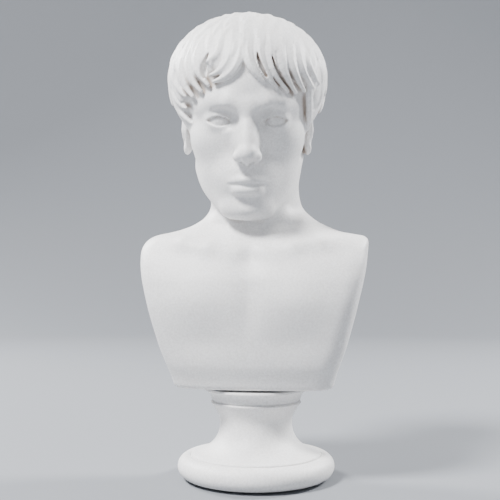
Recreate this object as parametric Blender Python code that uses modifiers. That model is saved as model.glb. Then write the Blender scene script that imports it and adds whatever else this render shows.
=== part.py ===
"""Marble bust on a turned socle, about half life size, held together by a threaded rod.

The bust is one carved block: a head on a bare chest that is cut square at the shoulders, as on a herm.
The socle is a second, turned block. A threaded rod is bedded in resin in the bust, passes through the
socle's bore, and is drawn down by a nut and two washers in a recess that a felt pad covers. A shim
keeps the two blocks of marble apart, so the bust can be turned on the socle to face its viewer.

Frame: origin at the centre of the felt's underside, on the rod's axis. +Z is up, the chest faces -Y,
and +X is on the viewer's right. Lengths are in metres, and angles in degrees.
"""

import math

import bmesh
import bpy
from mathutils import Matrix, Vector

# ---------------------------------------------------------------- driving dimensions
GAP = 0.0003  # between two pieces that touch

FELT_RADIUS = 0.0405
FELT_THICKNESS = 0.0010

SOCLE_BOTTOM = FELT_THICKNESS + GAP
SOCLE_TOP = 0.0574
SOCLE_FOOT_RADIUS = 0.0499
SOCLE_WAIST_RADIUS = 0.0229
SOCLE_WAIST_HEIGHT = 0.0355
SOCLE_PLATE_RADIUS = 0.0332
FOOT_ROLL_TOP = 0.0152

SHIM_THICKNESS = 0.0006
SHIM_RADIUS = 0.0240
BUST_BOTTOM = SOCLE_TOP + GAP + SHIM_THICKNESS + GAP

ROD_RADIUS = 0.0040  # M8
ROD_BOTTOM = 0.0050
ROD_TOP = 0.0990
RESIN_WALL = 0.0014
SOCLE_BORE_RADIUS = 0.0048
RECESS_RADIUS = 0.0180
RECESS_TOP = 0.0180

PENNY_WASHER_RADIUS = 0.0150
PENNY_WASHER_THICKNESS = 0.0015
SPRING_WASHER_RADIUS = 0.0074
SPRING_WASHER_THICKNESS = 0.0020
NUT_ACROSS_FLATS = 0.0130
NUT_THICKNESS = 0.0065
WASHER_HOLE_RADIUS = 0.0044

# The head is laid out in life-size millimetres round the middle of the ear canals, then set on the neck.
HEAD_SCALE = 0.52 * 0.001
HEAD_CENTRE = Vector((-0.0055, 0.0010, 0.2226))
HEAD_NOD = 14.0
HEAD_TURN = 7.0

# Chest sections from the cut at the bottom to the root of the neck: height, half width, front, back.
CHEST_SECTIONS = (
    (0.0560, 0.0500, -0.0325, 0.0300),
    (0.0750, 0.0549, -0.0380, 0.0330),
    (0.1000, 0.0618, -0.0425, 0.0370),
    (0.1220, 0.0672, -0.0425, 0.0390),
    (0.1400, 0.0708, -0.0375, 0.0385),
    (0.1480, 0.0708, -0.0310, 0.0375),
    (0.1525, 0.0662, -0.0240, 0.0345),
    (0.1560, 0.0490, -0.0180, 0.0300),
)
CHEST_SQUARENESS = 7.0  # exponent of the superellipse that each section follows
CHEST_BOW = 0.006  # how far the front and back fall away towards the sides
CHEST_RING_POINTS = 64

ROUND_STEPS = 56
SMALL_ROUND_STEPS = 28
CARVING_VOXEL = 0.0012
SMOOTHING_PASSES = 28
KEPT_SHARE = 0.04  # of the carved block's triangles, after the flat stretches are thinned out


# ---------------------------------------------------------------- helpers
def clear_scene():
    for obj in list(bpy.data.objects):
        bpy.data.objects.remove(obj, do_unlink=True)


def new_collection(name, shown=True):
    made = bpy.data.collections.new(name)
    bpy.context.scene.collection.children.link(made)
    made.hide_render = not shown
    return made


def material(name, colour, roughness, metallic=0.0):
    made = bpy.data.materials.new(name)
    made.use_nodes = True
    shader = made.node_tree.nodes["Principled BSDF"]
    shader.inputs["Base Color"].default_value = (*colour, 1.0)
    shader.inputs["Roughness"].default_value = roughness
    shader.inputs["Metallic"].default_value = metallic
    made.diffuse_color = (*colour, 1.0)
    return made


def object_from(name, shape, home, finish=None):
    """Puts a bmesh into a new, smooth-shaded object in the collection home, and frees it."""
    mesh = bpy.data.meshes.new(name)
    shape.to_mesh(mesh)
    shape.free()
    mesh.shade_smooth()
    mesh.set_sharp_from_angle(angle=math.radians(35))
    obj = bpy.data.objects.new(name, mesh)
    home.objects.link(obj)
    if finish:
        mesh.materials.append(finish)
    return obj


def helper(obj):
    obj.hide_render = True
    obj.display_type = "WIRE"
    return obj


def add_modifier(obj, kind, **settings):
    made = obj.modifiers.new(kind.title(), kind)
    for key, value in settings.items():
        setattr(made, key, value)
    return made


def cut(obj, cutter, operation="DIFFERENCE"):
    add_modifier(obj, "BOOLEAN", operation=operation, solver="EXACT", object=helper(cutter))


def turned(name, profile, home, finish=None, steps=ROUND_STEPS, closed=True):
    """A turned solid. The profile's (radius, height) points run down the outside and back up the bore."""
    shape = bmesh.new()
    points = [shape.verts.new((radius, 0, height)) for radius, height in profile]
    for first, second in zip(points, points[1:]):
        shape.edges.new((first, second))
    if closed:
        shape.edges.new((points[-1], points[0]))
    obj = object_from(name, shape, home, finish)
    add_modifier(
        obj,
        "SCREW",
        angle=math.tau,
        steps=steps,
        render_steps=steps,
        use_smooth_shade=True,
        use_merge_vertices=True,
        merge_threshold=0.00001,
    )
    return obj


def cylinder(name, radius, low, high, home, finish=None, steps=SMALL_ROUND_STEPS):
    shape = bmesh.new()
    bmesh.ops.create_cone(
        shape,
        cap_ends=True,
        segments=steps,
        radius1=radius,
        radius2=radius,
        depth=high - low,
        matrix=Matrix.Translation((0, 0, (low + high) / 2)),
    )
    return object_from(name, shape, home, finish)


def arc(centre, radius, start, end, count):
    """Points on a circle in the profile plane, from the start angle to the end angle."""
    angles = [math.radians(start + (end - start) * i / (count - 1)) for i in range(count)]
    return [(centre[0] + radius * math.cos(a), centre[1] + radius * math.sin(a)) for a in angles]


def bezier(start, pull_start, pull_end, end, count):
    """Points on a cubic curve from start to end, both included."""
    points = []
    for i in range(count):
        t = i / (count - 1)
        s = 1 - t
        weights = (s**3, 3 * s * s * t, 3 * s * t * t, t**3)
        ends = (start, pull_start, pull_end, end)
        points.append(tuple(sum(w * p[k] for w, p in zip(weights, ends)) for k in (0, 1)))
    return points


# ---------------------------------------------------------------- socle
def socle_profile():
    """Down the outside: plate, cavetto, bead, waist and foot roll. Back up: recess and rod bore."""
    plate = [(SOCLE_PLATE_RADIUS - 0.0004, SOCLE_TOP), (SOCLE_PLATE_RADIUS, SOCLE_TOP - 0.0004)]
    cavetto = bezier(
        (SOCLE_PLATE_RADIUS, SOCLE_TOP - 0.0012),
        (SOCLE_PLATE_RADIUS - 0.0030, SOCLE_TOP - 0.0022),
        (0.0290, 0.0530),
        (0.0282, 0.0498),
        5,
    )
    bead = [(0.0274, 0.0494), (0.0276, 0.0489), (0.0288, 0.0484), (0.0287, 0.0476)]
    waist = (SOCLE_WAIST_RADIUS, SOCLE_WAIST_HEIGHT)
    upper_neck = bezier((0.0279, 0.0468), (0.0247, 0.0425), (waist[0], 0.0395), waist, 5)
    lower_neck = bezier(waist, (waist[0], 0.0270), (0.0275, 0.0190), (0.0412, 0.0160), 8)
    roll_radius = (FOOT_ROLL_TOP - SOCLE_BOTTOM) / 2
    roll_centre = (SOCLE_FOOT_RADIUS - roll_radius, SOCLE_BOTTOM + roll_radius)
    foot_roll = arc(roll_centre, roll_radius, 98, -90, 10)
    recess = [(RECESS_RADIUS, SOCLE_BOTTOM), (RECESS_RADIUS, RECESS_TOP)]
    bore = [(SOCLE_BORE_RADIUS, RECESS_TOP), (SOCLE_BORE_RADIUS, SOCLE_TOP)]
    return plate + cavetto + bead + upper_neck + lower_neck[1:] + foot_roll + recess + bore


def make_socle(home, marble):
    return turned("socle", socle_profile(), home, marble)


def make_felt_pad(home, felt):
    return cylinder("felt_pad", FELT_RADIUS, 0, FELT_THICKNESS, home, felt, steps=ROUND_STEPS)


# ---------------------------------------------------------------- rod and fasteners
def ring(name, outer, inner, low, high, home, finish):
    profile = [(outer, high), (outer, low), (inner, low), (inner, high)]
    return turned(name, profile, home, finish, steps=SMALL_ROUND_STEPS)


def make_seat_shim(home, sheet):
    low = SOCLE_TOP + GAP
    return ring("seat_shim", SHIM_RADIUS, SOCLE_BORE_RADIUS, low, low + SHIM_THICKNESS, home, sheet)


def make_tie_rod(home, steel):
    chamfer = 0.0007
    profile = [
        (0, ROD_TOP),
        (ROD_RADIUS - chamfer, ROD_TOP),
        (ROD_RADIUS, ROD_TOP - chamfer),
        (ROD_RADIUS, ROD_BOTTOM + chamfer),
        (ROD_RADIUS - chamfer, ROD_BOTTOM),
        (0, ROD_BOTTOM),
    ]
    return turned("tie_rod", profile, home, steel, steps=SMALL_ROUND_STEPS, closed=False)


def make_rod_resin(home, resin):
    """The set resin: a cap over the rod's top, a wall down its side, open at the bust's underside."""
    inner = ROD_RADIUS + GAP
    outer = inner + RESIN_WALL
    profile = [
        (0, ROD_TOP + GAP + RESIN_WALL),
        (outer, ROD_TOP + GAP + RESIN_WALL),
        (outer, BUST_BOTTOM + GAP),
        (inner, BUST_BOTTOM + GAP),
        (inner, ROD_TOP + GAP),
        (0, ROD_TOP + GAP),
    ]
    return turned("rod_resin", profile, home, resin, steps=SMALL_ROUND_STEPS, closed=False)


def make_penny_washer(home, zinc):
    high = RECESS_TOP - GAP
    low = high - PENNY_WASHER_THICKNESS
    return ring("penny_washer", PENNY_WASHER_RADIUS, WASHER_HOLE_RADIUS, low, high, home, zinc), low


def make_spring_washer(home, cutters, zinc, high):
    """A split lock washer: a ring with a slanted slit through one side."""
    low = high - SPRING_WASHER_THICKNESS
    washer = ring("spring_washer", SPRING_WASHER_RADIUS, WASHER_HOLE_RADIUS, low, high, home, zinc)
    slit = bmesh.new()
    bmesh.ops.create_cube(slit, size=1)
    bmesh.ops.scale(slit, vec=(0.008, 0.0006, 0.008), verts=slit.verts)
    slant = Matrix.Rotation(math.radians(25), 4, "X")
    place = Matrix.Translation((SPRING_WASHER_RADIUS, 0, (low + high) / 2))
    bmesh.ops.transform(slit, matrix=place @ slant, verts=slit.verts)
    cut(washer, object_from("spring_washer_slit", slit, cutters))
    return washer, low


def make_clamp_nut(home, cutters, zinc, high):
    """A hexagon with turned-off corners and a plain hole at the thread's clearance."""
    low = high - NUT_THICKNESS
    corner = NUT_ACROSS_FLATS / 2 / math.cos(math.radians(30))
    nut = cylinder("clamp_nut", corner, low, high, home, zinc, steps=6)
    turned_off = 0.0008
    flat = NUT_ACROSS_FLATS / 2
    profile = [
        (0, high + GAP),
        (flat, high + GAP),
        (corner + GAP, high - turned_off),
        (corner + GAP, low + turned_off),
        (flat, low - GAP),
        (0, low - GAP),
    ]
    envelope = turned("clamp_nut_envelope", profile, cutters, closed=False)
    cut(nut, envelope, "INTERSECT")
    cut(nut, cylinder("clamp_nut_hole", WASHER_HOLE_RADIUS, low - GAP, high + GAP, cutters))
    return nut


# ---------------------------------------------------------------- bust
def head_matrix():
    """From life-size millimetres round the ear canals to the bust's frame."""
    turn = Matrix.Rotation(math.radians(HEAD_TURN), 4, "Z")
    nod = Matrix.Rotation(math.radians(HEAD_NOD), 4, "X")
    return Matrix.Translation(HEAD_CENTRE) @ turn @ nod @ Matrix.Scale(HEAD_SCALE, 4)


def ellipsoid(shape, centre, radii, tilt=0.0, place=None, segments=24):
    """Adds an ellipsoid to the shape, tilted about X before it is moved to its centre."""
    moved = Matrix.Translation(centre) @ Matrix.Rotation(math.radians(tilt), 4, "X")
    matrix = (place or Matrix()) @ moved @ Matrix.Diagonal((*radii, 1))
    rings = segments // 2
    bmesh.ops.create_uvsphere(shape, u_segments=segments, v_segments=rings, radius=1, matrix=matrix)


def add_face(shape, place):
    """Brow, eyes, nose, lips and chin, on the front of the skull's masses."""
    ellipsoid(shape, (0, -95, 8), (9, 9, 34), tilt=-24, place=place)
    ellipsoid(shape, (0, -107, -18), (11, 12, 9), place=place)
    ellipsoid(shape, (0, -88, -10), (16, 14, 20), place=place)
    ellipsoid(shape, (0, -64, -52), (43, 34, 36), place=place, segments=48)
    ellipsoid(shape, (0, -95, -49), (20, 10, 5), place=place)
    ellipsoid(shape, (0, -94, -61), (17, 10.5, 6), place=place)
    ellipsoid(shape, (0, -66, -78), (34, 30, 22), place=place, segments=40)
    for side in (-1, 1):
        ellipsoid(shape, (side * 18, -70, 38), (38, 20, 15), tilt=12, place=place)
        ellipsoid(shape, (side * 31, -69, 15), (17, 14, 9), place=place)
        ellipsoid(shape, (side * 8, -99, -21), (9, 11, 9), place=place)


def add_head(shape):
    """The masses of an ideal head: skull, midface, jaw and ears, and the face on them."""
    place = head_matrix()
    ellipsoid(shape, (0, 4, 42), (75, 96, 84), place=place, segments=40)
    ellipsoid(shape, (0, -34, -20), (61, 58, 72), place=place, segments=48)
    ellipsoid(shape, (0, -45, -52), (48, 46, 45), place=place, segments=48)
    for side in (-1, 1):
        ellipsoid(shape, (side * 29, -36, -56), (20, 44, 22), tilt=30, place=place)
        ellipsoid(shape, (side * 64, 8, 0), (13, 16, 24), place=place)
        ellipsoid(shape, (side * 75, 10, 3), (6, 19, 31), tilt=-10, place=place)
    add_face(shape, place)


def add_hair(shape):
    """The cap of hair, its roll over the forehead, the fall over each temple, and the mass at the nape."""
    place = head_matrix()
    ellipsoid(shape, (0, 14, 66), (97, 106, 79), place=place, segments=48)
    ellipsoid(shape, (0, -40, 84), (78, 58, 38), tilt=10, place=place, segments=40)
    ellipsoid(shape, (0, 40, 14), (73, 61, 62), place=place, segments=40)
    for side in (-1, 1):
        ellipsoid(shape, (side * 60, -20, 48), (28, 42, 46), place=place)
        ellipsoid(shape, (side * 60, -18, 10), (12, 14, 26), place=place)


def add_neck(shape):
    """A cone from the skull's base to the chest, with the slope of the shoulders on both sides."""
    top = head_matrix() @ Vector((0, 18, -22))
    root = Vector((0, 0.0045, 0.1360))
    along = top - root
    middle = Matrix.Translation((top + root) / 2)
    bmesh.ops.create_cone(
        shape,
        cap_ends=True,
        segments=40,
        radius1=0.0325,
        radius2=0.0290,
        depth=along.length,
        matrix=middle @ along.to_track_quat("Z", "Y").to_matrix().to_4x4(),
    )
    ellipsoid(shape, (0, 0.0120, 0.1530), (0.0560, 0.0240, 0.0150), segments=40)
    ellipsoid(shape, (0, 0.0170, 0.1500), (0.0360, 0.0220, 0.0360), segments=40)


def section_ring(shape, height, half_width, front, back):
    """One level section of the chest: a superellipse, with its front and back at their own depths."""
    middle = (front + back) / 2
    half_depth = (back - front) / 2
    made = []
    for i in range(CHEST_RING_POINTS):
        angle = math.tau * i / CHEST_RING_POINTS
        across = math.copysign(abs(math.cos(angle)) ** (2 / CHEST_SQUARENESS), math.cos(angle))
        along = math.copysign(abs(math.sin(angle)) ** (2 / CHEST_SQUARENESS), math.sin(angle))
        depth = along * (half_depth - CHEST_BOW * across**2)
        made.append(shape.verts.new((across * half_width, middle + depth, height)))
    return made


def add_chest(shape):
    """A loft through the chest sections, closed at both ends."""
    rings = [section_ring(shape, *section) for section in CHEST_SECTIONS]
    for lower, upper in zip(rings, rings[1:]):
        for i in range(CHEST_RING_POINTS):
            j = (i + 1) % CHEST_RING_POINTS
            shape.faces.new((lower[i], lower[j], upper[j], upper[i]))
    shape.faces.new(reversed(rings[0]))
    shape.faces.new(rings[-1])


def make_bust(home, cutters, marble):
    """All masses are run together into one block, whose foot is sawn flat and drilled for the rod."""
    shape = bmesh.new()
    add_chest(shape)
    add_neck(shape)
    add_head(shape)
    add_hair(shape)
    bust = object_from("bust", shape, home, marble)
    add_modifier(bust, "REMESH", mode="VOXEL", voxel_size=CARVING_VOXEL, use_smooth_shade=True)
    add_modifier(bust, "SMOOTH", factor=0.5, iterations=SMOOTHING_PASSES)
    add_modifier(bust, "DECIMATE", decimate_type="COLLAPSE", ratio=KEPT_SHARE)
    cut(bust, cylinder("foot_saw", 0.12, 0, BUST_BOTTOM, cutters))
    hole = ROD_RADIUS + GAP + RESIN_WALL + GAP
    hole_top = ROD_TOP + GAP + RESIN_WALL + GAP
    cut(bust, cylinder("rod_drill", hole, 0.05, hole_top, cutters))
    return bust


# ---------------------------------------------------------------- assembly
def main():
    clear_scene()
    home = new_collection("marble_bust")
    cutters = new_collection("cutters", shown=False)

    marble = material("honed_white_marble", (0.82, 0.81, 0.80), 0.55)
    felt = material("grey_felt", (0.20, 0.20, 0.19), 0.95)
    sheet = material("grey_polyethylene_sheet", (0.04, 0.04, 0.05), 0.55)
    zinc = material("zinc_plated_steel", (0.62, 0.63, 0.64), 0.35, 1.0)
    resin = material("polyester_resin", (0.62, 0.57, 0.42), 0.40)

    make_felt_pad(home, felt)
    make_socle(home, marble)
    make_seat_shim(home, sheet)
    make_bust(home, cutters, marble)
    make_tie_rod(home, zinc)
    make_rod_resin(home, resin)
    _, washer_low = make_penny_washer(home, zinc)
    _, spring_low = make_spring_washer(home, cutters, zinc, washer_low - GAP)
    make_clamp_nut(home, cutters, zinc, spring_low - GAP)


main()
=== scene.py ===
"""Marble bust on a turned socle: its carved surface, finishes and studio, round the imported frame.

The bust is modelled as a sculptor's block is: masses are run together, hollows are cut into them, and
locks of hair are laid over the cap. All of it is one distance field, which is then skinned as a mesh.
The carving and the socle are in millimetres, and the head in the millimetres of a life-size head round
the middle of its ear canals; the rest is in metres. The front is -Y and up is +Z, and left and right are
as seen from the front.
"""

import math

import bmesh
import bpy
import numpy as np
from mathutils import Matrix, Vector


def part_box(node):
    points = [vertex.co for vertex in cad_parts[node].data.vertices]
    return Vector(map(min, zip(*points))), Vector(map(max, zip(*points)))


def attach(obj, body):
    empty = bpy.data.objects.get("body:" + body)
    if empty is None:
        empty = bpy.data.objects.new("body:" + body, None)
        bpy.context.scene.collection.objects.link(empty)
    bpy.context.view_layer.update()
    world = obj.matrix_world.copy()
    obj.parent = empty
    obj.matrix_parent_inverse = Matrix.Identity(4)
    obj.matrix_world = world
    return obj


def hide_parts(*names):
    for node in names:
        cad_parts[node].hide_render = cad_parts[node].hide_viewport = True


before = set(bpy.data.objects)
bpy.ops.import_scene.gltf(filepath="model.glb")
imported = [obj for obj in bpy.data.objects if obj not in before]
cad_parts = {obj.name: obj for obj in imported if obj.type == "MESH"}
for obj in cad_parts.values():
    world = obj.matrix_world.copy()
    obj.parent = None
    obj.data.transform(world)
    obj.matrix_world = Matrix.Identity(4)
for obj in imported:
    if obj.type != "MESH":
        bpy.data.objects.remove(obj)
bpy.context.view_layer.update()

MM = 0.001

# ---------------------------------------------------------------- sizes of the carving, in millimetres
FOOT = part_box("bust")[0][2] / MM
BUST_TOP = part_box("bust")[1][2] / MM
ROD_HOLE_RADIUS = 6.0
ROD_HOLE_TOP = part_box("rod_resin")[1][2] / MM + 0.3
CHISEL = 0.6  # spacing of the grid that the surface is found on
SMOOTHING = 0.35
TRIANGLES = 190000

HEAD_SCALE = 0.52
HEAD_CENTRE = (-5.6, 1.0, 222.6)
HEAD_NOD = 14.0
HEAD_TURN = 7.0

SEED = 7


# ---------------------------------------------------------------- distance tools
def merge(a, b, k):
    """The union of two shapes, run together over the width k."""
    mix = np.clip(0.5 + 0.5 * (b - a) / k, 0, 1)
    return b * (1 - mix) + a * mix - k * mix * (1 - mix)


def carve(a, b, k):
    """Shape a with shape b cut out of it, the edge softened over the width k."""
    return -merge(-a, b, k)


def trim(a, b, k):
    """What shapes a and b have in common, the edge softened over the width k."""
    return -merge(-a, -b, k)


def rotation(tilt=0, roll=0, turn=0):
    """The matrix that turns by these degrees about X, then Y, then Z."""
    a, b, c = (math.radians(v) for v in (tilt, roll, turn))
    about_x = np.array(((1, 0, 0), (0, math.cos(a), -math.sin(a)), (0, math.sin(a), math.cos(a))))
    about_y = np.array(((math.cos(b), 0, math.sin(b)), (0, 1, 0), (-math.sin(b), 0, math.cos(b))))
    about_z = np.array(((math.cos(c), -math.sin(c), 0), (math.sin(c), math.cos(c), 0), (0, 0, 1)))
    return about_z @ about_y @ about_x


def egg(p, centre, radii, **turns):
    """Distance to an ellipsoid, near its surface."""
    q = p - np.asarray(centre, p.dtype)
    if turns:
        q = q @ rotation(**turns).astype(p.dtype)
    r = np.asarray(radii, p.dtype)
    q = q / r
    k0 = np.sqrt((q * q).sum(1))
    q = q / r
    k1 = np.sqrt((q * q).sum(1)) + 1e-9
    return k0 * (k0 - 1) / k1


def stick(p, start, end, r_start, r_end):
    """Distance to a round bar that tapers from r_start to r_end."""
    a = np.asarray(start, p.dtype)
    ab = np.asarray(end, p.dtype) - a
    ap = p - a
    t = np.clip(ap @ ab / (ab @ ab), 0, 1)
    gap = ap - t[:, None] * ab
    return np.sqrt((gap * gap).sum(1)) - (r_start + (r_end - r_start) * t)


def string(p, points, radii, k):
    """Distance to a chain of tapered bars through the points."""
    pairs = list(zip(points, points[1:], radii, radii[1:]))
    d = stick(p, *pairs[0])
    for pair in pairs[1:]:
        d = merge(d, stick(p, *pair), k)
    return d


def curve(x, knots, values):
    """A smooth curve through the knots, without overshoot, level past both ends."""
    knots = np.asarray(knots, float)
    values = np.asarray(values, float)
    step = np.diff(knots)
    slope = np.diff(values) / step
    tangent = np.zeros(len(knots))
    inner = slope[:-1] * slope[1:] > 0
    tangent[1:-1][inner] = 2 * slope[:-1][inner] * slope[1:][inner] / (slope[:-1] + slope[1:])[inner]
    x = np.clip(x, knots[0], knots[-1])
    i = np.clip(np.searchsorted(knots, x) - 1, 0, len(knots) - 2)
    t = (x - knots[i]) / step[i]
    t2, t3 = t * t, t * t * t
    return (
        (2 * t3 - 3 * t2 + 1) * values[i]
        + (t3 - 2 * t2 + t) * step[i] * tangent[i]
        + (3 * t2 - 2 * t3) * values[i + 1]
        + (t3 - t2) * step[i] * tangent[i + 1]
    )


def hill(x, z, centre, spread):
    """A round swelling of height 1 in a flat view."""
    return np.exp(-(((x - centre[0]) / spread[0]) ** 2) - ((z - centre[1]) / spread[1]) ** 2)


def mirrored(p):
    """The points with both sides folded onto +X, with the fold itself rounded."""
    m = p.copy()
    m[:, 0] = np.hypot(m[:, 0], 1.5)
    return m


# ---------------------------------------------------------------- chest and neck, in the part's frame
FRONT_HEIGHTS = (58, 75, 95, 112, 124, 134, 144, 152, 162)
FRONT_DEPTHS = (32, 37.5, 41.5, 43, 42, 39, 33.5, 27, 18)
BACK_HEIGHTS = (58, 80, 105, 128, 142, 152, 162)
BACK_DEPTHS = (30, 34, 38, 40, 39, 36, 31)
WIDTH_HEIGHTS = (55, 87, 111, 138, 160)
HALF_WIDTHS = (49.6, 58.6, 65.0, 70.6, 72.2)
SHOULDER_OUT = (0, 30, 41, 50, 60, 75)
SHOULDER_HEIGHTS = (168, 165.5, 160.4, 157.2, 155.0, 153.0)


def chest(p):
    """The bare chest, cut square at both sides: low muscles, breastbone, collar bones and back."""
    x, y, z = p.T
    m = mirrored(p)
    out = m[:, 0]
    half_width = curve(z, WIDTH_HEIGHTS, HALF_WIDTHS)
    bow = np.clip(out / half_width, 0, 1) ** 2
    front = curve(z, FRONT_HEIGHTS, FRONT_DEPTHS) - 6.0 * bow
    front += 2.6 * hill(out, z, (30, 116), (20, 15)) - 1.4 * hill(out, z, (0, 110), (7, 20))
    front -= 1.2 * hill(out, z, (26, 88), (24, 9)) + 2.4 * hill(out, z, (0, 138), (9, 7))
    back = curve(z, BACK_HEIGHTS, BACK_DEPTHS) - 4.0 * bow
    back += 2.2 * hill(out, z, (34, 122), (15, 19)) - 2.4 * hill(out, z, (0, 112), (8, 40))
    slab = trim(-y - front, y - back, 4.0)
    top = curve(out, SHOULDER_OUT, SHOULDER_HEIGHTS)
    corner = 5.0 + 7.0 / (1 + np.exp(x / 6))
    ends = trim((out - half_width) * 0.97, (z - top) * 0.96, corner)
    collar_bone = ((9, -30, 141), (26, -30.5, 145), (42, -27, 148), (56, -20, 147))
    block = trim(trim(slab, ends, 12.0), FOOT - z, 3.5)
    return merge(block, string(m, collar_bone, (2.0, 2.2, 2.2, 1.4), 3.0), 10.0)


def neck(p):
    """The neck, its two front cords and throat, and the slope from the nape to the shoulders."""
    m = mirrored(p)
    d = stick(p, (-3.6, 7.5, 216), (0, 9.5, 150), 28.0, 29.5)
    d = merge(d, stick(m, (16, 18, 161), (56, 13, 144), 12, 7), 14)
    d = merge(d, stick(p, (0, 16, 196), (0, 19, 150), 22, 20), 8)
    for side in (-1, 1):
        d = merge(d, stick(p, (side * 27 - 4, 9, 206), (side * 6.5, -24.5, 143), 6.5, 4.0), 8)
    return merge(d, egg(p, (-1.2, -19.5, 176), (6, 6, 9)), 6)


# ---------------------------------------------------------------- face, life size
EYE = (32.0, -69.6, 16.0)
EYE_RADIUS = 14.0
INNER_CORNER = (16.0, 13.4)
OUTER_CORNER = (48.5, 16.4)


def skull(q, m):
    """Brain case, midface, jaw, chin and cheekbones, before any feature is cut."""
    d = egg(q, (0, 2, 40), (76, 98, 86))
    d = merge(d, egg(q, (0, -27, -18), (64, 61, 72)), 20)
    d = merge(d, egg(q, (0, -42, -48), (55, 48, 46)), 14)
    d = merge(d, stick(m, (49, -14, -46), (20, -74, -84), 12, 13), 18)
    d = merge(d, egg(q, (0, -72, -50), (32, 29, 28)), 14)
    d = merge(d, egg(q, (0, -82, -84), (22, 18, 15)), 13)
    return merge(d, egg(m, (43, -50, -7), (17, 24, 17), turn=-20), 22)


def add_nose(d, q, m):
    """A straight bridge, the tip, the wings and the nostrils."""
    d = merge(d, string(q, ((0, -88, 34), (0, -97, 12), (0, -111.5, -15)), (8.0, 7.4, 8.0), 4), 9)
    d = merge(d, egg(q, (0, -92, -8), (14, 20, 24), tilt=-18), 9)
    d = merge(d, egg(q, (0, -111.5, -18.5), (10.0, 9.6, 8.2)), 7)
    d = merge(d, egg(m, (9.0, -101.0, -22.0), (7.6, 11.5, 7.4), turn=14), 5)
    d = carve(d, egg(m, (19.0, -96, -21), (2.0, 5, 8), turn=20), 5)
    d = merge(d, stick(q, (0, -103, -30), (0, -112, -26), 2.8, 3.2), 4)
    return carve(d, egg(m, (6.4, -106, -30.0), (3.2, 6.5, 3.8), turn=14), 1.8)


def add_eyes(d, m):
    """Brow, socket, ball and lids. The lids are shells over the ball, open along an almond."""
    brow = ((0, -91, 32), (22, -89, 37.5), (38, -78, 37.5), (52, -60, 31))
    d = merge(d, string(m, brow, (4.0, 5.0, 4.6, 4.0), 8), 15)
    d = carve(d, egg(m, (31, -99, 19.0), (20.0, 24.5, 13.5), turn=12), 6)
    x, _, z = m.T
    t = np.clip((x - INNER_CORNER[0]) / (OUTER_CORNER[0] - INNER_CORNER[0]), 0, 1)
    line = INNER_CORNER[1] + (OUTER_CORNER[1] - INNER_CORNER[1]) * t
    upper = line + 7.4 * np.clip(np.sin(math.pi * t**0.92), 0, 1) ** 0.8
    lower = line - 4.6 * np.sin(math.pi * t**1.1)
    ball = egg(m, EYE, (1, 1, 1)) + 1
    opening = np.maximum(z - upper, lower - z) * 0.9
    beyond = np.maximum(INNER_CORNER[0] - x, x - OUTER_CORNER[0])
    opening = np.where(beyond > 0, np.hypot(np.maximum(opening, 0), beyond), opening)
    lids = ball - EYE_RADIUS - 2.5 - 1.1 / (1 + np.exp(-(z - line) / 2))
    d = merge(d, carve(lids, opening, 1.8), 4.5)
    d = merge(d, egg(m, (INNER_CORNER[0], -81.0, INNER_CORNER[1]), (3.0, 3.0, 2.2)), 2.2)
    return np.minimum(d, ball - EYE_RADIUS)


def add_mouth(d, q, m):
    """Closed lips, the groove under the nose, and the hollow over the chin."""
    d = merge(d, egg(m, (7.5, -97.4, -49.6), (15.5, 6.4, 4.8), turn=28, roll=9), 5.0)
    d = merge(d, egg(q, (0, -96.4, -61.4), (17.0, 8.4, 6.4)), 7.0)
    d = carve(d, stick(q, (0, -110.8, -33), (0, -110.4, -43.5), 2.0, 3.2), 5)
    parting = (
        (0, -105.2, -55.4),
        (7, -104.4, -54.4),
        (13, -101.8, -54.4),
        (19, -97.6, -55.0),
        (23, -94.4, -55.4),
    )
    d = carve(d, string(m, parting, (1.8, 1.9, 1.8, 1.5, 1.0), 0.5), 2.0)
    return carve(d, egg(q, (0, -107.0, -74.0), (15, 7.0, 5.0)), 9)


def ear(m):
    """One ear, built in its own frame (X outwards, Y to the back, Z up) and laid against the skull."""
    e = (m - np.array((72, 6, 2), m.dtype)) @ rotation(tilt=-8, turn=17).astype(m.dtype)
    d = merge(egg(e, (1.0, 6, 2), (4.6, 18.5, 30), tilt=-10), egg(e, (-7, 5, 0), (11, 12, 22), tilt=-10), 4)
    rim = [
        (4.5, 6.0 - 17.0 * math.cos(a), 5 + 24 * math.sin(a))
        for a in np.radians((215, 190, 165, 135, 105, 75, 45, 15, -15, -40, -62))
    ]
    d = merge(d, string(e, rim, np.linspace(3.0, 2.6, len(rim)), 1), 2.5)
    fold = ((4.5, 10, 18), (5.0, 13, 6), (5.0, 11, -8), (4.5, 4, -14))
    d = merge(d, string(e, fold, (2.6, 3.0, 2.8, 2.2), 1), 2.5)
    d = merge(d, egg(e, (2.5, -0.5, -24), (4.2, 7.5, 8.5)), 3)
    d = carve(d, egg(e, (6.5, 2, -2), (6.5, 7.5, 10)), 2.5)
    d = carve(d, egg(e, (7.0, 1, 12), (3.5, 8, 4.5), tilt=20), 2.5)
    return merge(d, egg(e, (3.2, -9, -3), (3.6, 4.0, 6.5)), 2.5)


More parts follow.
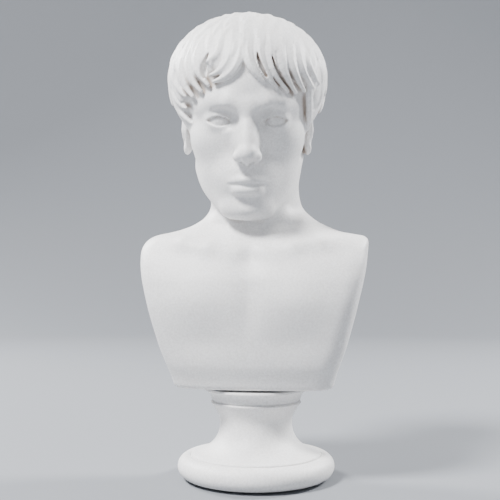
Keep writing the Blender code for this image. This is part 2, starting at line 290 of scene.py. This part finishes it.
# ---------------------------------------------------------------- hair, life size
CAP_CENTRE = np.array((0.0, 11.0, 64.0))
CAP_RADII = (97.5, 104.5, 78.0)
CAP_DEPTH = 112.0
CROWN = np.array((0.08, 0.55, 0.83)) / math.sqrt(0.08**2 + 0.55**2 + 0.83**2)
HAIRLINE_ANGLES = (0, 20, 34, 44, 52, 58, 65, 70, 75, 85, 98, 106, 116, 140, 180)
HAIRLINE_HEIGHTS = (76, 68, 58, 47, 32, 10, -7, -3, 26, 36, 32, 2, -28, -48, -56)
TEMPLE_ANGLES = (36, 48, 66, 76)  # where the hairline runs steeply, its edge is thinned more
EDGE_SLOPES = (0.7, 0.33, 0.33, 0.7)
LOCK_REACH = 10.0
LOCK_STEPS = 9
ROOT_SIZE = 0.7  # a lock's width at its root, as a share of its full width
STRANDS = 2.5
GROOVE = 0.6  # depth of the grooves between a lock's strands

# Each lock over the forehead: root, pull and tip in the front view, and half width. They part a little
# left of the middle. On the left an outer group turns in against an inner one and leaves an almond.
FRINGE = (
    ((-8, 112), (-5, 70), (-38, 61), 8.4),
    ((-20, 112), (-15, 76), (-42, 68), 7.8),
    ((-34, 112), (-28, 92), (-47, 82), 6.4),
    ((-50, 112), (-72, 84), (-44, 57), 8.2),
    ((-60, 108), (-82, 78), (-53, 50), 8.0),
    ((-70, 100), (-90, 70), (-63, 44), 7.6),
    ((2, 112), (-6, 84), (18, 62), 8.0),
    ((15, 112), (8, 80), (33, 55), 8.0),
    ((28, 111), (20, 80), (46, 50), 7.8),
    ((40, 108), (32, 80), (56, 48), 7.2),
    ((52, 105), (46, 80), (66, 50), 7.0),
    ((62, 100), (58, 78), (76, 54), 6.8),
    ((72, 92), (70, 76), (84, 58), 6.4),
)
# Drilled cuts between them, as (x, z) points in the front view with a radius.
DRILLED = (
    (((-44, 92), (-54, 78), (-49, 64)), 3.6),
    (((11, 94), (13, 78), (25, 62)), 2.2),
    (((27, 92), (31, 72), (46, 54)), 2.2),
)
# Locks combed from a root: root, heading, length, bend at root and tip, half width. The right temple is
# swept back over the ear; the left is combed forward and ends in a pointed lock before the ear.
COMBED = (
    ((68, -52, 64), 38, 40, (0.2, 1.1), 6.2),
    ((69, -50, 50), 58, 42, (-0.9, 1.4), 6.0),
    ((71, -44, 37), 62, 38, (-1.0, 1.2), 5.6),
    ((76, -34, 26), 34, 34, (-0.6, 0.6), 5.0),
    ((-78, -30, 82), 24, 40, (-0.4, 1.0), 6.4),
    ((-82, -24, 66), 26, 40, (-0.6, 0.8), 6.2),
    ((-84, -18, 50), 20, 40, (0.2, 0.7), 6.0),
    ((-84, -20, 34), 16, 40, (0.6, -0.6), 5.4),
)


def cap_radii(height):
    """The cap's radii at these heights over its centre: it reaches lower than it rises."""
    radii = np.empty((len(height), 3), height.dtype)
    radii[:, 0] = CAP_RADII[0]
    radii[:, 1] = CAP_RADII[1]
    radii[:, 2] = np.where(height > 0, CAP_RADII[2], CAP_DEPTH)
    return radii


def cap_distance(q):
    """Distance to the smooth cap that the hair lies on, near its surface."""
    v = q - CAP_CENTRE.astype(q.dtype)
    r = cap_radii(v[:, 2])
    k0 = np.sqrt(((v / r) ** 2).sum(1))
    k1 = np.sqrt(((v / (r * r)) ** 2).sum(1)) + 1e-9
    return k0 * (k0 - 1) / k1


def on_cap(points):
    """Moves points onto the cap along lines from its centre, and gives the normals there."""
    v = points - CAP_CENTRE
    r = cap_radii(v[:, 2])
    v = v / np.sqrt(((v / r) ** 2).sum(1))[:, None]
    n = v / (r * r)
    return CAP_CENTRE + v, n / np.linalg.norm(n, axis=1)[:, None]


def round_head(q):
    """Each point's direction round the head, in degrees from the front."""
    return np.degrees(np.arctan2(np.abs(q[:, 0]), CAP_CENTRE[1] - q[:, 1]))


def hairline(q):
    """Height of the hair's lower edge in each point's direction."""
    return curve(round_head(q), HAIRLINE_ANGLES, HAIRLINE_HEIGHTS)


def combed_path(root, heading, length, bend):
    """Walks over the cap. Heading 0 leads away from the crown; bend is in degrees a millimetre."""
    point, normal = on_cap(np.array([root], float))
    point, normal = point[0], normal[0]
    away = point - (CAP_CENTRE + CROWN * 80)
    away -= away @ normal * normal
    away /= np.linalg.norm(away)
    angle = math.radians(heading)
    ahead = math.cos(angle) * away + math.sin(angle) * np.cross(normal, away)
    points, normals = [point], [normal]
    step = length / (LOCK_STEPS - 1)
    for i in range(LOCK_STEPS - 1):
        point, normal = on_cap((points[-1] + ahead * step)[None])
        point, normal = point[0], normal[0]
        turn = math.radians(bend[0] + (bend[1] - bend[0]) * i / (LOCK_STEPS - 2)) * step
        ahead = ahead - ahead @ normal * normal
        ahead /= np.linalg.norm(ahead)
        ahead = ahead * math.cos(turn) + np.cross(normal, ahead) * math.sin(turn)
        points.append(point)
        normals.append(normal)
    return np.array(points), np.array(normals)


def drawn_path(root, pull, tip, steps=10):
    """A path drawn in the front view and laid on the cap."""
    t = np.linspace(0, 1, steps)[:, None]
    flat = (1 - t) ** 2 * np.array(root) + 2 * t * (1 - t) * np.array(pull) + t * t * np.array(tip)
    v = np.zeros((steps, 3))
    v[:, 0] = flat[:, 0]
    v[:, 2] = flat[:, 1] - CAP_CENTRE[2]
    r = cap_radii(v[:, 2])
    inside = np.clip(1 - (v[:, 0] / r[:, 0]) ** 2 - (v[:, 2] / r[:, 2]) ** 2, 0.02, 1)
    v[:, 1] = -r[:, 1] * np.sqrt(inside)
    return on_cap(v + CAP_CENTRE)


def lay_lock(path, width, height, lift, tip_size=0.16):
    """A lock along a path: it leaves the cap's surface, swells and runs out to a point."""
    points, normals = path
    t = np.linspace(0, 1, len(points))
    swell = (1 - t**3.2).clip(0) ** 0.8
    size = np.maximum((ROOT_SIZE * (1 - t) + t) * swell, tip_size)
    lifted = points + normals * (lift[0] + (lift[1] - lift[0]) * t)[:, None]
    return {
        "points": lifted.astype(np.float32),
        "normals": normals.astype(np.float32),
        "width": width * size,
        "height": height * (0.45 + 0.55 * size),
    }


def lock_distance(q, lock):
    """Distance to a flattened, tapering bar with grooves along it between its strands."""
    points, normals, width, height = (lock[key] for key in ("points", "normals", "width", "height"))
    best = np.full(len(q), 2 * LOCK_REACH, np.float32)
    for i in range(len(points) - 1):
        ab = points[i + 1] - points[i]
        length = np.linalg.norm(ab)
        v = q - points[i]
        near = np.flatnonzero((v * v).sum(1) < (length + width.max() + LOCK_REACH) ** 2)
        if not len(near):
            continue
        v = v[near]
        t = np.clip(v @ ab / length**2, 0, 1)[:, None]
        n = normals[i] * (1 - t) + normals[i + 1] * t
        v = v - t * ab
        t = t[:, 0]
        along = ab / length
        w = width[i] * (1 - t) + width[i + 1] * t
        h = height[i] * (1 - t) + height[i + 1] * t
        across = (v * np.cross(along, n)).sum(1) / w
        reach = np.sqrt(across**2 + ((v * n).sum(1) / h) ** 2 + (v @ along / w) ** 2)
        groove = 0.5 - 0.5 * np.cos(math.pi * STRANDS * across)
        d = (reach - 1) * np.minimum(w, h) + GROOVE * groove * np.clip(w / 6, 0, 1)
        best[near] = np.minimum(best[near], d)
    return best


def combed_locks():
    """Rows of locks round the crown, each row lapping over the next, left out over the face and ears."""
    chance = np.random.default_rng(SEED)
    first = np.cross(CROWN, (1, 0, 0))
    first /= np.linalg.norm(first)
    second = np.cross(CROWN, first)
    locks = []
    for row, angle in enumerate(range(10, 150, 12)):
        ring = math.radians(angle)
        count = max(6, round(math.sin(ring) * 34))
        for i in range(count):
            turn = math.tau * (i + 0.5 * (row % 2) + chance.uniform(-0.18, 0.18)) / count
            out = math.cos(turn) * first + math.sin(turn) * second
            direction = math.cos(ring + chance.uniform(-0.04, 0.04)) * CROWN + math.sin(ring) * out
            root = on_cap((CAP_CENTRE + direction * 80)[None])[0]
            wave = math.sin(3 * turn + 1.1 * row) * 14 + chance.uniform(-7, 7)
            bend = math.sin(2 * turn + 0.9 * row + 1.0) * 2.4 + chance.uniform(-0.5, 0.5)
            length = 36 + chance.uniform(-4, 6)
            path = combed_path(root[0], wave - 15 * bend, length, (1.9 * bend, -1.1 * bend))
            tip = path[0][-1:]
            width = 7.0 + chance.uniform(-0.7, 0.9)
            root_drop = root[0][2] - hairline(root)[0]
            tip_drop = tip[0][2] - hairline(tip)[0]
            over_face = root[0][1] < -30 and root[0][2] < 104 and abs(root[0][0]) < 74
            at_fringe = root[0][1] < -20 and tip_drop < 6 and abs(tip[0][0]) < 80
            if root_drop < 10 or tip_drop < -8 or over_face or at_fringe:
                continue
            locks.append(lay_lock(path, width, 4.2, lift=(-3.4, -0.6)))
    return locks


def drawn_locks():
    """The locks that frame the face."""
    locks = []
    for root, pull, tip, width in FRINGE:
        locks.append(lay_lock(drawn_path(root, pull, tip), width, 5.0, lift=(-3.4, 0.2), tip_size=0.25))
    for root, heading, length, bend, width in COMBED:
        locks.append(lay_lock(combed_path(root, heading, length, bend), width, 4.6, lift=(-3.0, -1.0)))
    return locks


def hair_distance(q, locks):
    """Distance to all the locks; far from the cap it only says that they are far."""
    d = np.full(len(q), 4 * LOCK_REACH, np.float32)
    close = np.flatnonzero(np.abs(cap_distance(q)) < 2 * LOCK_REACH)
    c = q[close]
    dc = d[close]
    for lock in locks:
        low = lock["points"].min(0) - LOCK_REACH
        high = lock["points"].max(0) + LOCK_REACH
        near = np.flatnonzero(((c > low) & (c < high)).all(1))
        if len(near):
            dc[near] = merge(dc[near], lock_distance(c[near], lock), 1.8)
    d[close] = dc
    return d


def drill_hair(d, q):
    """Cuts the drilled channels and the almond out of the finished hair."""
    for points, radius in DRILLED:
        path, normals = drawn_path(*points, steps=7)
        for lift in (-3.5, -0.5, 2.5, 5.5):
            channel = path + normals * lift
            taper = radius * np.sin(np.linspace(0.35, math.pi - 0.25, len(channel)))
            d = carve(d, string(q, channel, taper, 0.3), 1.2)
    return d


# ---------------------------------------------------------------- the whole bust
FACE_REACH = -40.0  # features and drilled cuts lie in front of this, life size
FAR = 60.0
CHEST_TOP = 185
NECK_FROM, NECK_TO = 125, 235
HEAD_FROM = 160


def to_head(p):
    """From the part's frame in millimetres to the head's, life size."""
    spin = rotation(tilt=HEAD_NOD, turn=HEAD_TURN).astype(p.dtype)
    return (p - np.array(HEAD_CENTRE, p.dtype)) @ spin / HEAD_SCALE


def head(q, locks):
    """Skull, features, ears and hair, in life-size millimetres."""
    m = mirrored(q)
    d = skull(q, m)
    face = q[:, 1] < FACE_REACH
    qf, mf = q[face], m[face]
    d[face] = add_mouth(add_eyes(add_nose(d[face], qf, mf), mf), qf, mf)
    beside = (m[:, 0] > 52) & (np.abs(q[:, 1]) < 55) & (np.abs(q[:, 2]) < 60)
    d[beside] = merge(d[beside], ear(m[beside]), 4.0)
    below_edge = (hairline(q) + 2 - q[:, 2]) * curve(round_head(q), TEMPLE_ANGLES, EDGE_SLOPES)
    cap = trim(cap_distance(q), below_edge, 16.0)
    d = merge(merge(d, cap, 9.0), hair_distance(q, locks), 2.4)
    d[face] = drill_hair(d[face], qf)
    return d


def bust_field(p, locks):
    """Distance to the bust's surface, in millimetres, at points of the part's frame."""
    p = p.astype(np.float32)
    d = np.full(len(p), FAR, np.float32)
    low = p[:, 2] < CHEST_TOP
    d[low] = chest(p[low])
    middle = (p[:, 2] > NECK_FROM) & (p[:, 2] < NECK_TO)
    d[middle] = merge(d[middle], neck(p[middle]), 9.0)
    high = p[:, 2] > HEAD_FROM
    d[high] = merge(d[high], head(to_head(p[high]), locks) * HEAD_SCALE, 3.0)
    hole = np.maximum(np.hypot(p[:, 0], p[:, 1]) - ROD_HOLE_RADIUS, p[:, 2] - ROD_HOLE_TOP)
    return np.maximum(np.maximum(d, FOOT - p[:, 2]), -hole)


# ---------------------------------------------------------------- from the field to a mesh
BLOCK = 6
HALF_DIAGONAL = 0.87  # of a block, in block sides
SPARE = 1.2
POINTS_AT_ONCE = 300000


def sampled(field, low, high, pitch):
    """The field on a grid: in full in the blocks that the surface may cross, and roughly elsewhere."""
    blocks = np.ceil((np.array(high) - np.array(low)) / (pitch * BLOCK)).astype(int)
    block = np.argwhere(np.ones(blocks, bool))
    centres = low + (block * BLOCK + (BLOCK - 1) / 2) * pitch
    rough = np.concatenate([field(c) for c in np.array_split(centres, 8)])
    values = rough.reshape(blocks)
    for axis in range(3):
        values = np.repeat(values, BLOCK, axis)
    active = block[np.abs(rough) < pitch * BLOCK * HALF_DIAGONAL + SPARE]
    offsets = np.argwhere(np.ones((BLOCK, BLOCK, BLOCK), bool))
    for part in np.array_split(active, max(1, len(active) * BLOCK**3 // POINTS_AT_ONCE)):
        index = (part[:, None] * BLOCK + offsets[None]).reshape(-1, 3)
        values[tuple(index.T)] = field(low + index * pitch)
    return values


def surface_net(values, low, pitch):
    """One vertex in each cell that the surface crosses, and one quad round each edge that it crosses."""
    inside = values < 0
    shape = np.array(values.shape)
    corners = np.argwhere(np.ones((2, 2, 2), bool))
    count = np.zeros(shape - 1, np.uint8)
    for corner in corners:
        count += inside[tuple(slice(c, n - 1 + c) for c, n in zip(corner, shape))]
    cells = np.argwhere((count > 0) & (count < 8))
    number = np.full(count.shape, -1, np.int32)
    number[tuple(cells.T)] = np.arange(len(cells))
    total = np.zeros((len(cells), 3))
    hits = np.zeros(len(cells))
    quads = []
    for axis in range(3):
        ahead = np.eye(3, dtype=int)[axis]
        u, v = np.eye(3, dtype=int)[(axis + 1) % 3], np.eye(3, dtype=int)[(axis + 2) % 3]
        for start in (0 * u, u, v, u + v):
            a = values[tuple((cells + start).T)]
            b = values[tuple((cells + start + ahead).T)]
            crossed = (a < 0) != (b < 0)
            spot = np.repeat(start[None].astype(float), len(cells), 0)
            spot[crossed, axis] = a[crossed] / (a - b)[crossed]
            total[crossed] += spot[crossed]
            hits += crossed
        behind = inside[tuple(slice(0, n - s) for n, s in zip(shape, ahead))]
        beyond = inside[tuple(slice(s, n) for n, s in zip(shape, ahead))]
        edges = np.argwhere(behind != beyond)
        quad = np.stack([number[tuple((edges - s).T)] for s in (u + v, v, 0 * u, u)], 1)
        inward = ~behind[tuple(edges.T)]
        quad[inward] = quad[inward][:, ::-1]
        quads.append(quad)
    return low + (cells + total / hits[:, None]) * pitch, np.concatenate(quads)


def mesh_from(name, vertices, quads):
    """A smooth-shaded mesh from arrays of vertices in millimetres and quads."""
    mesh = bpy.data.meshes.new(name)
    mesh.vertices.add(len(vertices))
    mesh.vertices.foreach_set("co", (vertices * MM).astype(np.float32).ravel())
    mesh.loops.add(quads.size)
    mesh.loops.foreach_set("vertex_index", quads.astype(np.int32).ravel())
    mesh.polygons.add(len(quads))
    mesh.polygons.foreach_set("loop_start", np.arange(0, quads.size, 4, dtype=np.int32))
    mesh.update(calc_edges=True)
    mesh.shade_smooth()
    return mesh


def applied(obj):
    """Gives the object the mesh that its modifiers make, and removes them."""
    shown = obj.evaluated_get(bpy.context.evaluated_depsgraph_get())
    mesh = bpy.data.meshes.new_from_object(shown)
    obj.modifiers.clear()
    obj.data = mesh
    return mesh


def mark_hollows(mesh, field):
    """Stores how sunk each vertex lies, from 0 on the open surface to 1 deep in a groove; the marble browns
    and darkens with it, as painted shade and as the dust left in the cuts.
    """
    count = len(mesh.vertices)
    place = np.empty(count * 3, np.float32)
    normal = np.empty(count * 3, np.float32)
    mesh.vertices.foreach_get("co", place)
    mesh.vertex_normals.foreach_get("vector", normal)
    place = place.reshape(-1, 3) / MM
    normal = normal.reshape(-1, 3)
    hollow = np.zeros(count)
    for reach in (1.2, 3.0):
        hollow += 0.5 * np.clip(1 - field(place + normal * reach) / reach, 0, 1)
    made = mesh.attributes.new("hollow", "FLOAT", "POINT")
    made.data.foreach_set("value", hollow.astype(np.float32))


def make_bust(marble):
    """The carved bust: its field skinned, rubbed down, thinned and given its hollows and its stone."""
    locks = combed_locks() + drawn_locks()

    def field(p):
        return bust_field(p, locks)

    # The grid starts five and a half steps under the foot, so that no grid point lies in its plane.
    low = np.array((-80.0, -72.0, FOOT - 5.5 * CHISEL))
    high = np.array((80.0, 66.0, BUST_TOP + 6))
    pitch = CHISEL * 1
    vertices, quads = surface_net(sampled(field, low, high, pitch), low, pitch)
    bust = bpy.data.objects.new("carved_bust", mesh_from("carved_bust", vertices, quads))
    bpy.context.scene.collection.objects.link(bust)
    share = min(1.0, TRIANGLES / (2 * len(quads)))
    rub = bust.modifiers.new("Rub", "SMOOTH")
    rub.factor = SMOOTHING
    rub.iterations = 1
    if share < 1:
        bust.modifiers.new("Thin", "DECIMATE").ratio = share
    mesh = applied(bust)
    mark_hollows(mesh, field)
    mesh.materials.clear()
    mesh.materials.append(marble)
    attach(bust, "figure")
    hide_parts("bust")
    return bust


# ---------------------------------------------------------------- socle, in millimetres
def arc(centre, radius, start, end, count):
    """Points on a circle in the profile plane, between two angles in degrees."""
    angles = [math.radians(start + (end - start) * i / (count - 1)) for i in range(count)]
    return [(centre[0] + radius * math.cos(a), centre[1] + radius * math.sin(a)) for a in angles]


def bezier(start, pull_start, pull_end, end, count):
    """Points on a cubic curve from start to end."""
    points = []
    for i in range(count):
        t = i / (count - 1)
        s = 1 - t
        weights = (s**3, 3 * s * s * t, 3 * s * t * t, t**3)
        ends = (start, pull_start, pull_end, end)
        points.append(tuple(sum(w * p[k] for w, p in zip(weights, ends)) for k in (0, 1)))
    return points


def socle_profile():
    """Down the outside: plate, cavetto, bead, waist and foot roll. Back up: recess and rod bore."""
    low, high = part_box("socle")[0][2] / MM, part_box("socle")[1][2] / MM
    plate, foot = 33.2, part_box("socle")[1][0] / MM
    waist = (22.9, 35.5)
    roll = (15.2 - low) / 2
    recess, recess_top, bore = 18.0, 18.0, 4.8
    profile = arc((plate - 0.5, high - 0.5), 0.5, 90, 0, 4)
    profile += bezier((plate, high - 1.2), (plate - 3.0, high - 2.2), (29.0, 53.0), (28.2, 49.8), 12)
    profile += [(27.6, 49.6), (27.4, 49.4), (27.4, 49.0), (27.6, 48.8)]
    profile += arc((28.0, 48.1), 0.75, 70, -70, 6)
    profile += bezier((27.9, 46.8), (24.7, 42.5), (waist[0], 39.5), waist, 12)
    profile += bezier(waist, (waist[0], 27.0), (27.5, 19.0), (41.0, 16.0), 20)[1:]
    profile += [(41.15, 15.85), (41.2, 15.4), (41.3, 14.8), (41.6, 14.65)]
    profile += arc((foot - roll, low + roll), roll, 98, -90, 26)
    profile += [(recess, low), (recess, recess_top), (bore, recess_top), (bore, high)]
    return profile


def make_socle(marble):
    """The socle, turned from its profile."""
    shape = bmesh.new()
    points = [shape.verts.new((radius * MM, 0, height * MM)) for radius, height in socle_profile()]
    for first, second in zip(points, points[1:] + points[:1]):
        shape.edges.new((first, second))
    mesh = bpy.data.meshes.new("turned_socle")
    shape.to_mesh(mesh)
    shape.free()
    socle = bpy.data.objects.new("turned_socle", mesh)
    bpy.context.scene.collection.objects.link(socle)
    lathe = socle.modifiers.new("Lathe", "SCREW")
    lathe.angle = math.tau
    lathe.steps = lathe.render_steps = 144
    lathe.use_merge_vertices = True
    lathe.merge_threshold = 0.00001
    mesh = applied(socle)
    mesh.shade_smooth()
    mesh.set_sharp_from_angle(angle=math.radians(40))
    mesh.materials.clear()
    mesh.materials.append(marble)
    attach(socle, "base")
    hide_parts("socle")
    return socle


# ---------------------------------------------------------------- finishes
def linear(hex_colour):
    """An sRGB hex colour as linear red, green, blue and alpha."""
    parts = [int(hex_colour[i : i + 2], 16) / 255 for i in (1, 3, 5)]
    return (*(c / 12.92 if c <= 0.04045 else ((c + 0.055) / 1.055) ** 2.4 for c in parts), 1.0)


def add_node(tree, kind, links=(), **settings):
    """Adds a shader node. Settings name its properties or inputs; links pair an input with an output."""
    node = tree.nodes.new(kind)
    for key, value in settings.items():
        if hasattr(node, key):
            setattr(node, key, value)
        else:
            node.inputs[key.replace("_", " ")].default_value = value
    for socket, source in links:
        tree.links.new(source, node.inputs[socket])
    return node


def new_finish(name, **shader_settings):
    """An empty material: its tree and its Principled shader, with the given sockets set."""
    made = bpy.data.materials.new(name)
    made.use_nodes = True
    shader = made.node_tree.nodes["Principled BSDF"]
    for key, value in shader_settings.items():
        shader.inputs[key.replace("_", " ")].default_value = value
    return made, made.node_tree, shader


def honed_marble():
    """White statuary marble, honed and not polished.

    The eye sees a soft, slightly warm white that lets a little light in, a fine sugary grain, faint grey
    clouds, and a thin brown tone in the cuts: partly the dust and wax left there, and partly painted shade,
    as it grows darker the deeper a point lies in a groove.
    """
    made, tree, shader = new_finish(
        "honed_white_marble",
        IOR=1.49,
        Roughness=0.52,
        Subsurface_Weight=0.08,
        Subsurface_Radius=(1.0, 0.82, 0.66),
        Subsurface_Scale=0.0014,
    )
    place = add_node(tree, "ShaderNodeTexCoord").outputs["Object"]
    # Crystals are about a third of a millimetre; they are drawn at 1.3 mm so that they show at all.
    grain = add_node(
        tree, "ShaderNodeTexNoise", [("Vector", place)], Scale=1 / (1.3 * MM), Detail=3.0, Roughness=0.7
    ).outputs["Fac"]
    cloud = add_node(
        tree,
        "ShaderNodeTexNoise",
        [("Vector", place)],
        Scale=1 / (45 * MM),
        Detail=4.0,
        Roughness=0.55,
        Distortion=0.6,
    ).outputs["Fac"]
    clouded = add_node(tree, "ShaderNodeMix", [("Factor", cloud)], data_type="RGBA")
    clouded.inputs["A"].default_value = linear("#E3E2E2")
    clouded.inputs["B"].default_value = linear("#F0EFED")
    speck = add_node(tree, "ShaderNodeMapRange", [("Value", grain)], From_Min=0.35, From_Max=0.68)
    grained = add_node(tree, "ShaderNodeMix", data_type="RGBA", blend_type="MULTIPLY")
    grained.inputs["Factor"].default_value = 0.45
    tree.links.new(clouded.outputs["Result"], grained.inputs["A"])
    specks = add_node(tree, "ShaderNodeMix", [("Factor", speck.outputs["Result"])], data_type="RGBA")
    specks.inputs["A"].default_value = linear("#CCC9C8")
    specks.inputs["B"].default_value = linear("#FFFFFF")
    tree.links.new(specks.outputs["Result"], grained.inputs["B"])
    # Painted shade: the marble turns brown and darker the deeper a point lies in a groove, which also
    # stands for the dust and wax left in the cuts.
    sunk = add_node(tree, "ShaderNodeAttribute", attribute_name="hollow").outputs["Fac"]
    tone = add_node(
        tree,
        "ShaderNodeMapRange",
        [("Value", sunk)],
        interpolation_type="SMOOTHSTEP",
        From_Min=0.34,
        To_Max=0.8,
    )
    dust_and_shade_tone = add_node(tree, "ShaderNodeMix", [("Factor", tone.outputs["Result"])], data_type="RGBA")
    tree.links.new(grained.outputs["Result"], dust_and_shade_tone.inputs["A"])
    dust_and_shade_tone.inputs["B"].default_value = linear("#94806F")
    tree.links.new(dust_and_shade_tone.outputs["Result"], shader.inputs["Base Color"])
    bump = add_node(tree, "ShaderNodeBump", [("Height", grain)], Strength=0.35, Distance=0.00008)
    tree.links.new(bump.outputs["Normal"], shader.inputs["Normal"])
    return made


def wool_felt():
    """Grey wool felt, pressed: dull and fibrous, and dark at its thin edge."""
    made, tree, shader = new_finish("grey_wool_felt", Roughness=0.95, Sheen_Weight=0.3)
    place = add_node(tree, "ShaderNodeTexCoord").outputs["Object"]
    fibre = add_node(
        tree,
        "ShaderNodeTexNoise",
        [("Vector", place)],
        Scale=1 / (1.2 * MM),
        Detail=6.0,
        Roughness=0.8,
        Distortion=1.5,
    ).outputs["Fac"]
    mixed = add_node(tree, "ShaderNodeMix", [("Factor", fibre)], data_type="RGBA")
    mixed.inputs["A"].default_value = linear("#3A3B3C")
    mixed.inputs["B"].default_value = linear("#5E5F60")
    tree.links.new(mixed.outputs["Result"], shader.inputs["Base Color"])
    bump = add_node(tree, "ShaderNodeBump", [("Height", fibre)], Strength=0.8, Distance=0.0003)
    tree.links.new(bump.outputs["Normal"], shader.inputs["Normal"])
    return made


def zinc_plate():
    """Mild steel, bright zinc plated: a bluish metal, slightly mottled."""
    made, tree, shader = new_finish("zinc_plated_steel", Metallic=1.0)
    place = add_node(tree, "ShaderNodeTexCoord").outputs["Object"]
    spangle = add_node(
        tree, "ShaderNodeTexNoise", [("Vector", place)], Scale=1 / (2 * MM), Detail=3.0
    ).outputs["Fac"]
    mixed = add_node(tree, "ShaderNodeMix", [("Factor", spangle)], data_type="RGBA")
    mixed.inputs["A"].default_value = linear("#B4B9BE")
    mixed.inputs["B"].default_value = linear("#D2D5D8")
    tree.links.new(mixed.outputs["Result"], shader.inputs["Base Color"])
    rough = add_node(tree, "ShaderNodeMapRange", [("Value", spangle)], To_Min=0.28, To_Max=0.45)
    tree.links.new(rough.outputs["Result"], shader.inputs["Roughness"])
    return made


def stone_resin():
    """Polyester stone resin, set: a dull yellowish filler."""
    made, tree, shader = new_finish("polyester_stone_resin", IOR=1.55, Roughness=0.45)
    place = add_node(tree, "ShaderNodeTexCoord").outputs["Object"]
    filler = add_node(
        tree, "ShaderNodeTexNoise", [("Vector", place)], Scale=1 / (1.5 * MM), Detail=4.0
    ).outputs["Fac"]
    mixed = add_node(tree, "ShaderNodeMix", [("Factor", filler)], data_type="RGBA")
    mixed.inputs["A"].default_value = linear("#B5A888")
    mixed.inputs["B"].default_value = linear("#CCC1A4")
    tree.links.new(mixed.outputs["Result"], shader.inputs["Base Color"])
    return made


def shadow_gap_sheet():
    """Polyethylene sheet, cut, coloured dark grey as a painted shadow: its edge is the dark line of shade
    in the gap under the bust.
    """
    made, tree, shader = new_finish("grey_polyethylene_sheet", IOR=1.51, Roughness=0.55)
    place = add_node(tree, "ShaderNodeTexCoord").outputs["Object"]
    scuff = add_node(
        tree, "ShaderNodeTexNoise", [("Vector", place)], Scale=1 / (3 * MM), Detail=5.0
    ).outputs["Fac"]
    mixed = add_node(tree, "ShaderNodeMix", [("Factor", scuff)], data_type="RGBA")
    mixed.inputs["A"].default_value = linear("#2E2F31")
    mixed.inputs["B"].default_value = linear("#434548")
    tree.links.new(mixed.outputs["Result"], shader.inputs["Base Color"])
    return made


def refinish(node, finish):
    """Gives a carried-over piece its finish."""
    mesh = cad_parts[node].data
    mesh.materials.clear()
    mesh.materials.append(finish)


# ---------------------------------------------------------------- studio
AIM = (-0.0039, 0, 0.1270)
CAMERA_DISTANCE = 0.530
CAMERA_AZIMUTH = 7.0
CAMERA_PITCH = 1.95
CAMERA_VIEW = 33.85


def area_light(name, place, target, size, power):
    """A round white light at a place, turned to its target."""
    data = bpy.data.lights.new(name, "AREA")
    data.shape = "DISK"
    data.size = size
    data.energy = power
    obj = bpy.data.objects.new(name, data)
    obj.location = place
    obj.rotation_euler = (Vector(target) - Vector(place)).to_track_quat("-Z", "Y").to_euler()
    bpy.context.scene.collection.objects.link(obj)
    return obj


def make_backdrop():
    """Pale paper: a round floor that curves up into a wall all round, with no line where they meet."""
    flat, bend, wall = 1.3, 0.9, 3.2
    profile = [(0.0, 0.0), (flat / 2, 0.0)] + arc((flat, bend), bend, -90, 0, 24) + [(flat + bend, wall)]
    shape = bmesh.new()
    points = [shape.verts.new((radius, 0, height)) for radius, height in profile]
    for first, second in zip(points, points[1:]):
        shape.edges.new((first, second))
    bmesh.ops.spin(
        shape,
        geom=shape.verts[:] + shape.edges[:],
        axis=(0, 0, 1),
        cent=(0, 0, 0),
        steps=96,
        angle=math.tau,
        use_merge=True,
    )
    bmesh.ops.remove_doubles(shape, verts=shape.verts, dist=0.0001)
    bmesh.ops.recalc_face_normals(shape, faces=shape.faces)
    mesh = bpy.data.meshes.new("studio_paper")
    shape.to_mesh(mesh)
    shape.free()
    mesh.shade_smooth()
    paper = bpy.data.objects.new("studio_paper", mesh)
    bpy.context.scene.collection.objects.link(paper)
    made, _, shader = new_finish("pale_paper", Roughness=0.85)
    shader.inputs["Base Color"].default_value = linear("#7A7D82")
    mesh.materials.append(made)


def make_studio():
    """A soft key from the upper left, a weak fill, and a strip of light behind each side."""
    world = bpy.data.worlds.new("studio")
    bpy.context.scene.world = world
    world.use_nodes = True
    background = world.node_tree.nodes["Background"]
    background.inputs["Color"].default_value = linear("#DDE1E8")
    background.inputs["Strength"].default_value = 0.08
    make_backdrop()
    middle = (0, 0, 0.19)
    area_light("key", (-1.05, -1.15, 2.00), middle, 0.65, 180)
    area_light("fill", (1.60, -1.10, 0.90), middle, 1.20, 5)
    area_light("rim_left", (-1.24, 0.72, 1.10), middle, 0.45, 50)
    area_light("rim_right", (1.24, 0.72, 1.10), middle, 0.45, 62)


def make_camera():
    """A camera at the height of the chest, a little to the right of the middle and tipped up."""
    data = bpy.data.cameras.new("camera")
    data.sensor_fit = "AUTO"
    data.angle = math.radians(CAMERA_VIEW)
    data.dof.use_dof = False
    camera = bpy.data.objects.new("camera", data)
    azimuth = math.radians(CAMERA_AZIMUTH)
    camera.location = Vector(AIM) + Vector((math.sin(azimuth), -math.cos(azimuth), 0)) * CAMERA_DISTANCE
    camera.rotation_euler = (math.radians(90 + CAMERA_PITCH), 0, azimuth)
    bpy.context.scene.collection.objects.link(camera)
    bpy.context.scene.camera = camera


def main():
    marble = honed_marble()
    make_bust(marble)
    make_socle(marble)
    refinish("felt_pad", wool_felt())
    # The shim's dark grey is a painted shadow for the gap under the bust.
    refinish("seat_shim", shadow_gap_sheet())
    refinish("rod_resin", stone_resin())
    zinc = zinc_plate()
    for node in ("tie_rod", "penny_washer", "spring_washer", "clamp_nut"):
        refinish(node, zinc)
    make_studio()
    make_camera()


main()
